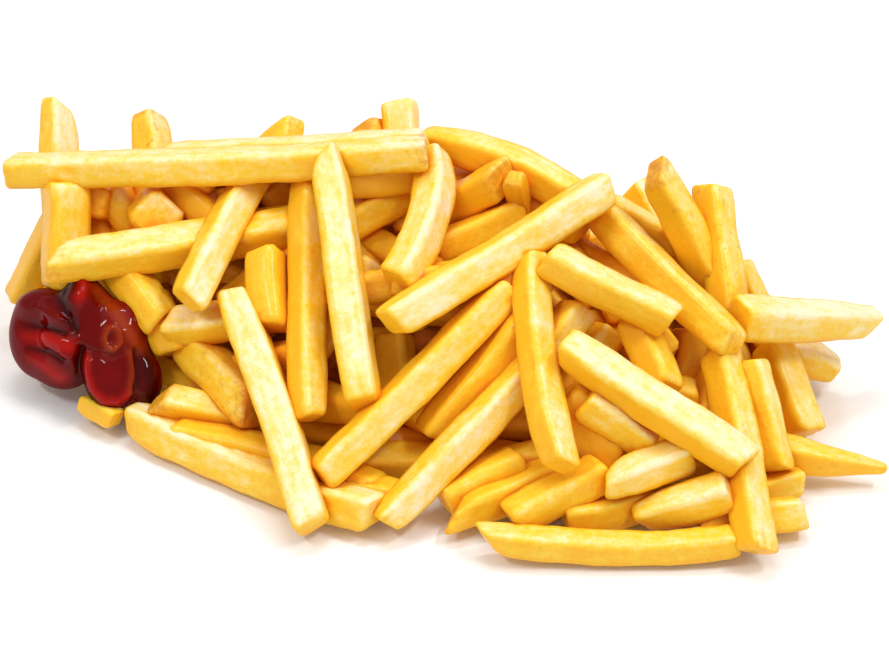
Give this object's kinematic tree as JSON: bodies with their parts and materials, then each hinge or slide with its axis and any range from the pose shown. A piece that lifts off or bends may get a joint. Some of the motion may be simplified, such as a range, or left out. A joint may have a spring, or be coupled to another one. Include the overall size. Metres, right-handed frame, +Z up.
{
  "type": "heap of french fries with ketchup",
  "caption": "Loose heap of straight-cut french fries with a dollop of ketchup at its left end, lying on a flat underside.",
  "frame": {"origin": "middle of the bounding box's underside, on the surface that the heap lies on", "axes": "+X along the heap's length, away from the ketchup; +Y away from the viewer of the picture; +Z up"},
  "size_m": [0.2264, 0.1315, 0.0698],
  "materials": {
    "fries": "fried potato, satin with a thin film of oil, pale cream to gold with brown tips",
    "ketchup": "smooth thick tomato sauce, wet and glossy, deep red"
  },
  "bodies": {
    "root": {"fries": "fries", "ketchup": "ketchup"}
  },
  "joints": []
}
